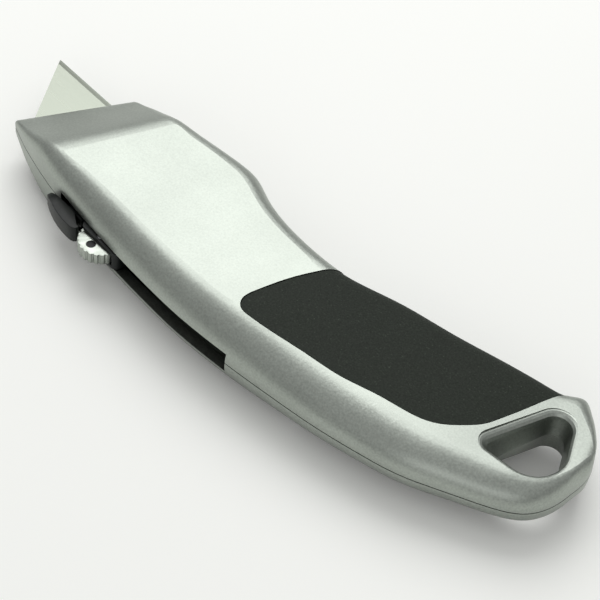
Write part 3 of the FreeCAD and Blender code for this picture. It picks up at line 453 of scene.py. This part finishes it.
class KNIFE_OT_wheel(bpy.types.Operator):
    """Ribbed thumb wheel with its bore and a dark index dot"""
    bl_idname = "knife.wheel"
    bl_label = "Thumb wheel"

    def execute(self, context):
        low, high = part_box("lock_wheel")
        centre = (low + high) / 2
        wheel = trace(self.rim(context.scene.knife_sizes, low, high), high.z - low.z)
        soften(wheel, RIM_ROUNDING, angle=RIM_ROUNDED_FROM, segments=2)
        cut(wheel, rod((centre.x, centre.y), BORE_RADIUS, low.z - MM, high.z + MM), "DIFFERENCE")
        spot = (centre.x, centre.y + INDEX_OFFSET)
        cut(wheel, rod(spot, DIMPLE_RADIUS, high.z - DIMPLE_DEPTH, high.z + MM), "DIFFERENCE")
        choose(wheel)
        bpy.ops.object.shade_smooth_by_angle(angle=WHEEL_SMOOTH_UP_TO)
        finish_piece(wheel, "thumb_wheel", "wheel", wheel_metal(), ["lock_wheel"])
        dot = rod(spot, DOT_RADIUS, high.z - DOT_FOOT, high.z - DOT_SINK)
        soften(dot, DOT_ROUNDING)
        finish_piece(dot, "index_dot", "wheel", plastic())
        return {"FINISHED"}

    def rim(self, sizes, low, high):
        """The wheel's outline, with a groove between each two ribs."""
        centre = (low + high) / 2
        steps = sizes.wheel_ribs * RIM_STEPS_PER_RIB
        outline = []
        for step in range(steps):
            angle = 2 * math.pi * step / steps
            wave = max(0.0, -math.cos(angle * sizes.wheel_ribs)) ** GROOVE_POWER
            reach = (high.x - low.x) / 2 - RIM_SPARE - wave * sizes.rib_height
            outline.append((centre.x + reach * math.cos(angle),
                            centre.y + reach * math.sin(angle), low.z))
        return outline


class KNIFE_OT_hardware(bpy.types.Operator):
    """Finishes of the shells, the inlays, the blades and the small hardware"""
    bl_idname = "knife.hardware"
    bl_label = "Blades and hardware"

    def execute(self, context):
        finishes = {"blade_steel": blade_steel(), "plain_steel": plain_steel(),
                    "black_plastic": plastic(), "wheel_metal": wheel_metal(),
                    "cast_metal": cast_metal(), "grip_rubber": rubber()}
        slots = {s["node"]: s["material_slot"] for s in frame["record"]["subparts"]}
        for node, piece in NODES.items():
            finish = finishes[slots[node]]
            for slot in piece.material_slots:
                slot.material = finish
        return {"FINISHED"}


FLOOR_SIZE = 6
FLOOR_LEVEL = -0.00005
FLOOR_TONES = (0.90, 0.91, 0.88, 1.0), (0.92, 0.93, 0.90, 1.0)
FLOOR_GLOW = (1.0, 1.0, 0.97, 1.0)
FLOOR_GLOW_STRENGTH = 0.07
SKY_TONES = [(0.0, 0.62), (0.35, 0.86), (1.0, 1.25)]
SKY_STRENGTH = 0.5
# Each softbox: its name, the way it stands from the knife, its distance, size and power.
SOFTBOXES = (
    ("main", Vector((0.455, -0.40, 0.80)), 1.0, 0.80, 5.6),
    ("fill", Vector((-0.5, 0.75, 0.45)), 1.2, 0.5, 1.0))
CAMERA_PLACE = Vector((-0.1804, 0.1784, 0.2788))
CAMERA_RIGHT = Vector((-0.661, -0.744, 0.095))
CAMERA_BACK = Vector((-0.455, 0.50, 0.737))
FOCAL_LENGTH = 102
SENSOR_WIDTH = 36


class KNIFE_OT_stage(bpy.types.Operator):
    """Pale floor, soft lights and the camera"""
    bl_idname = "knife.stage"
    bl_label = "Stage"

    def execute(self, context):
        self.floor()
        self.lights(context)
        self.camera(context)
        return {"FINISHED"}

    def floor(self):
        clear_selection()
        bpy.ops.mesh.primitive_plane_add(size=FLOOR_SIZE, location=(0, 0, FLOOR_LEVEL))
        floor = bpy.context.object
        floor.name = "floor"
        bpy.ops.object.transform_apply(location=True)
        material, tree, shader, place = new_material("pale_floor")
        shade = noise(tree, place, scale=3, detail=2)
        dark, light = FLOOR_TONES
        tree.links.new(ramp(tree, shade, [(0.3, dark), (0.7, light)]), shader.inputs["Base Color"])
        shader.inputs["Roughness"].default_value = 0.8
        shader.inputs["Specular IOR Level"].default_value = 0.1
        shader.inputs["Emission Color"].default_value = FLOOR_GLOW
        shader.inputs["Emission Strength"].default_value = FLOOR_GLOW_STRENGTH
        floor.data.materials.append(material)

    def lights(self, context):
        world = bpy.data.worlds.new("studio")
        context.scene.world = world
        world.use_nodes = True
        tree = world.node_tree
        background = tree.nodes["Background"]
        place = tree.nodes.new("ShaderNodeTexCoord")
        split = tree.nodes.new("ShaderNodeSeparateXYZ")
        tree.links.new(place.outputs["Generated"], split.inputs["Vector"])
        sky = ramp(tree, split.outputs["Z"], SKY_TONES)
        tree.links.new(sky, background.inputs["Color"])
        background.inputs["Strength"].default_value = SKY_STRENGTH
        for softbox in SOFTBOXES:
            self.softbox(*softbox)

    def softbox(self, name, direction, distance, size, power):
        """An area light that faces the knife's middle."""
        light = bpy.data.lights.new(name, "AREA")
        light.shape, light.size, light.energy = "SQUARE", size, power
        lamp = bpy.data.objects.new(name, light)
        bpy.context.scene.collection.objects.link(lamp)
        lamp.location = direction.normalized() * distance
        lamp.rotation_mode = "QUATERNION"
        lamp.rotation_quaternion = direction.to_track_quat("Z", "Y")

    def camera(self, context):
        right = CAMERA_RIGHT.normalized()
        back = (CAMERA_BACK - right * CAMERA_BACK.dot(right)).normalized()
        up = back.cross(right)
        turn = Matrix((right, up, back)).transposed().to_4x4()
        lens = bpy.data.cameras.new("camera")
        lens.lens = FOCAL_LENGTH
        lens.sensor_width = SENSOR_WIDTH
        lens.clip_start, lens.clip_end = 0.01, 20
        camera = bpy.data.objects.new("camera", lens)
        context.scene.collection.objects.link(camera)
        camera.matrix_world = Matrix.Translation(CAMERA_PLACE) @ turn
        context.scene.camera = camera
        context.scene.view_settings.view_transform = "Standard"


STEPS = (
    KNIFE_OT_button,
    KNIFE_OT_wheel,
    KNIFE_OT_hardware,
    KNIFE_OT_stage,
)


class KNIFE_PT_panel(bpy.types.Panel):
    bl_idname = "KNIFE_PT_panel"
    bl_label = "Utility knife"
    bl_space_type = "VIEW_3D"
    bl_region_type = "UI"
    bl_category = "Knife"

    def draw(self, context):
        for step in STEPS:
            self.layout.operator(step.bl_idname)
        for group in (context.scene.knife_colours, context.scene.knife_sizes):
            for key in group.__annotations__:
                self.layout.prop(group, key)


CLASSES = (KnifeColours, KnifeSizes, *STEPS, KNIFE_PT_panel)


def register():
    for item in CLASSES:
        bpy.utils.register_class(item)
    bpy.types.Scene.knife_colours = bpy.props.PointerProperty(type=KnifeColours)
    bpy.types.Scene.knife_sizes = bpy.props.PointerProperty(type=KnifeSizes)


def unregister():
    del bpy.types.Scene.knife_sizes
    del bpy.types.Scene.knife_colours
    for item in reversed(CLASSES):
        bpy.utils.unregister_class(item)


def main():
    register()
    for step in STEPS:
        group, name = step.bl_idname.split(".")
        getattr(getattr(bpy.ops, group), name)()


if __name__ == "__main__":
    main()
